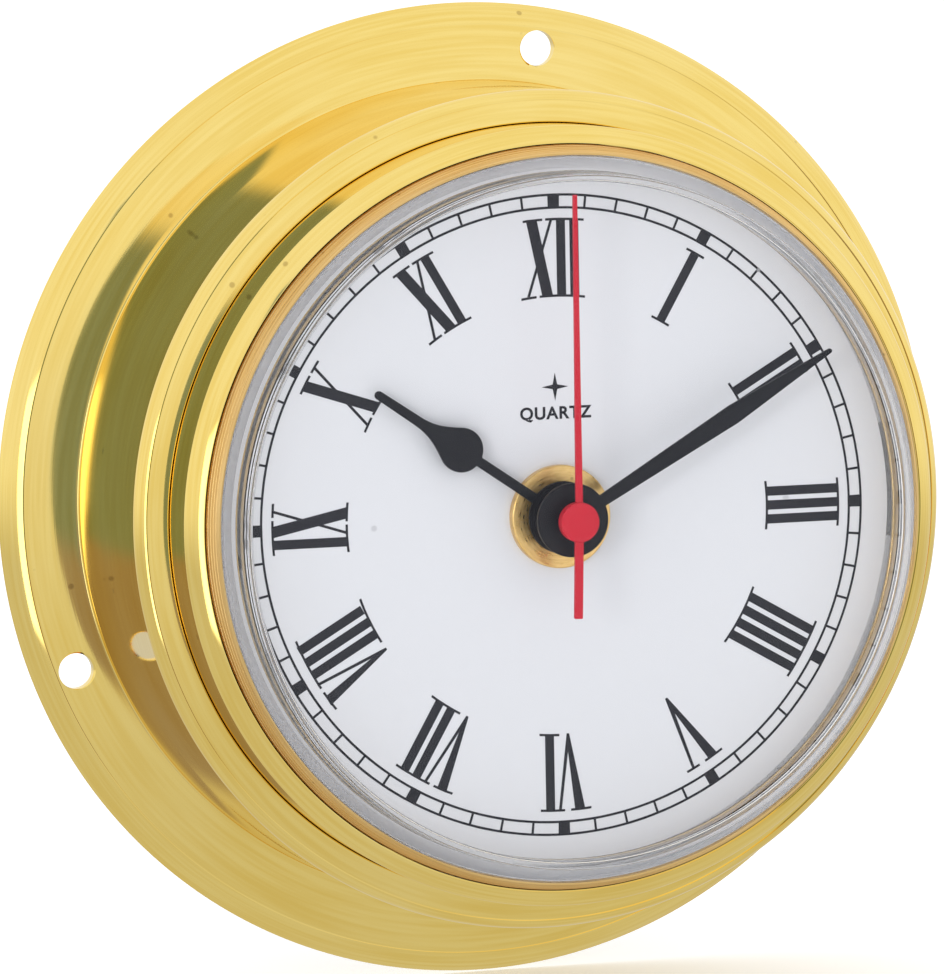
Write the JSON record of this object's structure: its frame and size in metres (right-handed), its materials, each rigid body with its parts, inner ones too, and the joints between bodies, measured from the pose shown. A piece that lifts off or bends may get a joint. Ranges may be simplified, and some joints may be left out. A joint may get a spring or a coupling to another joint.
{
  "type": "ships deck clock",
  "caption": "Round brass quartz clock with stepped drum case, screw-down flange, clear acrylic lens, Roman dial and three hands; the head turns and pulls out of its base.",
  "frame": {"origin": "centre of the screw circle in the mounting plane, where the flange rim touches the bulkhead", "axes": "+Z to twelve o'clock, +X to three o'clock as seen from the front, +Y from the dial into the bulkhead"},
  "size_m": [0.127, 0.0472, 0.127],
  "materials": {
    "polished_brass": "mirror-polished and lacquered",
    "turned_brass": "fine turned",
    "train_brass": "machined",
    "spring_steel": "rolled",
    "bright_steel": "bright plated",
    "black_nylon": "moulded satin",
    "black_plastic": "moulded, fine spark texture",
    "grey_plastic": "moulded satin",
    "white_nylon": "moulded satin",
    "black_rubber": "matte",
    "clear_acrylic": "polished",
    "white_enamel": "satin white, printed numerals",
    "black_enamel": "satin black",
    "red_plastic": "satin red",
    "ferrite": "sintered",
    "copper_wire": "enamelled wire",
    "green_laminate": "solder-masked",
    "black_resin": "domed resin",
    "contact_metal": "nickel plated",
    "battery_label": "shrink sleeve"
  },
  "bodies": {
    "base": {"base_flange": "polished_brass", "snap_ring": "spring_steel"},
    "swivel_bush": {"swivel_bush": "black_nylon", "o_ring": "black_rubber"},
    "head": {"head_case": "polished_brass", "retaining_ring": "turned_brass", "lens": "clear_acrylic", "lens_seal": "black_rubber", "dial_plate": "white_enamel", "dial_seat": "black_nylon", "dial_nut": "turned_brass", "rubber_washer": "black_rubber", "movement_frame": "black_plastic", "movement_plate": "black_plastic", "rear_cover": "black_plastic", "wheel_bridge": "grey_plastic", "stator": "spring_steel", "coil_core": "spring_steel", "coil_bobbin": "white_nylon", "coil_winding": "copper_wire", "circuit_board": "green_laminate", "controller_chip": "black_resin", "quartz_crystal": "bright_steel", "contact_plus": "contact_metal", "contact_minus": "contact_metal", "movement_screws": "bright_steel"},
    "second_hand": {"second_hand": "red_plastic", "seconds_wheel": "white_nylon"},
    "minute_hand": {"minute_hand": "black_enamel", "cannon_pinion": "train_brass", "centre_wheel": "white_nylon"},
    "hour_hand": {"hour_hand": "black_enamel", "hour_wheel": "train_brass"},
    "third_wheel": {"third_wheel": "white_nylon"},
    "intermediate_wheel": {"intermediate_wheel": "white_nylon"},
    "rotor": {"rotor_pinion": "white_nylon", "rotor_magnet": "ferrite"},
    "minute_wheel": {"minute_wheel": "white_nylon"},
    "setting_knob": {"setting_knob": "grey_plastic"},
    "battery": {"battery": "battery_label"}
  },
  "joints": [
    {"name": "head_turn", "type": "hinge", "parent": "base", "child": "swivel_bush", "pos_m": [0, 0, 0], "axis": [0, 1, 0], "continuous": true},
    {"name": "head_pull", "type": "slide", "parent": "swivel_bush", "child": "head", "axis": [0, -1, 0], "range_m": [0, 0.019]},
    {"name": "second_hand_turn", "type": "hinge", "parent": "head", "child": "second_hand", "pos_m": [0, 0, 0], "axis": [0, 1, 0], "continuous": true},
    {"name": "minute_hand_turn", "type": "hinge", "parent": "head", "child": "minute_hand", "pos_m": [0, 0, 0], "axis": [0, 1, 0], "continuous": true},
    {"name": "hour_hand_turn", "type": "hinge", "parent": "head", "child": "hour_hand", "pos_m": [0, 0, 0], "axis": [0, 1, 0], "continuous": true},
    {"name": "third_wheel_turn", "type": "hinge", "parent": "head", "child": "third_wheel", "pos_m": [-0.01015, 0, 0.00369], "axis": [0, 1, 0], "continuous": true},
    {"name": "intermediate_wheel_turn", "type": "hinge", "parent": "head", "child": "intermediate_wheel", "pos_m": [0.00272, 0, 0.01014], "axis": [0, 1, 0], "continuous": true},
    {"name": "rotor_turn", "type": "hinge", "parent": "head", "child": "rotor", "pos_m": [0.01335, 0, 0.00827], "axis": [0, 1, 0], "continuous": true},
    {"name": "minute_wheel_turn", "type": "hinge", "parent": "head", "child": "minute_wheel", "pos_m": [0.00827, 0, -0.00146], "axis": [0, 1, 0], "continuous": true},
    {"name": "setting_knob_turn", "type": "hinge", "parent": "head", "child": "setting_knob", "pos_m": [0.01617, 0, -0.00433], "axis": [0, 1, 0], "continuous": true},
    {"name": "battery_slide", "type": "slide", "parent": "head", "child": "battery", "axis": [0, 1, 0], "range_m": [0, 0.014]}
  ],
  "couplings": [
    {"joint": "minute_hand_turn", "follows": "second_hand_turn", "ratio": 0.016667},
    {"joint": "hour_hand_turn", "follows": "second_hand_turn", "ratio": 0.0013889},
    {"joint": "third_wheel_turn", "follows": "second_hand_turn", "ratio": -0.125},
    {"joint": "intermediate_wheel_turn", "follows": "second_hand_turn", "ratio": -6},
    {"joint": "rotor_turn", "follows": "second_hand_turn", "ratio": 30},
    {"joint": "minute_wheel_turn", "follows": "second_hand_turn", "ratio": -0.0055556},
    {"joint": "setting_knob_turn", "follows": "second_hand_turn", "ratio": 0.016667}
  ]
}
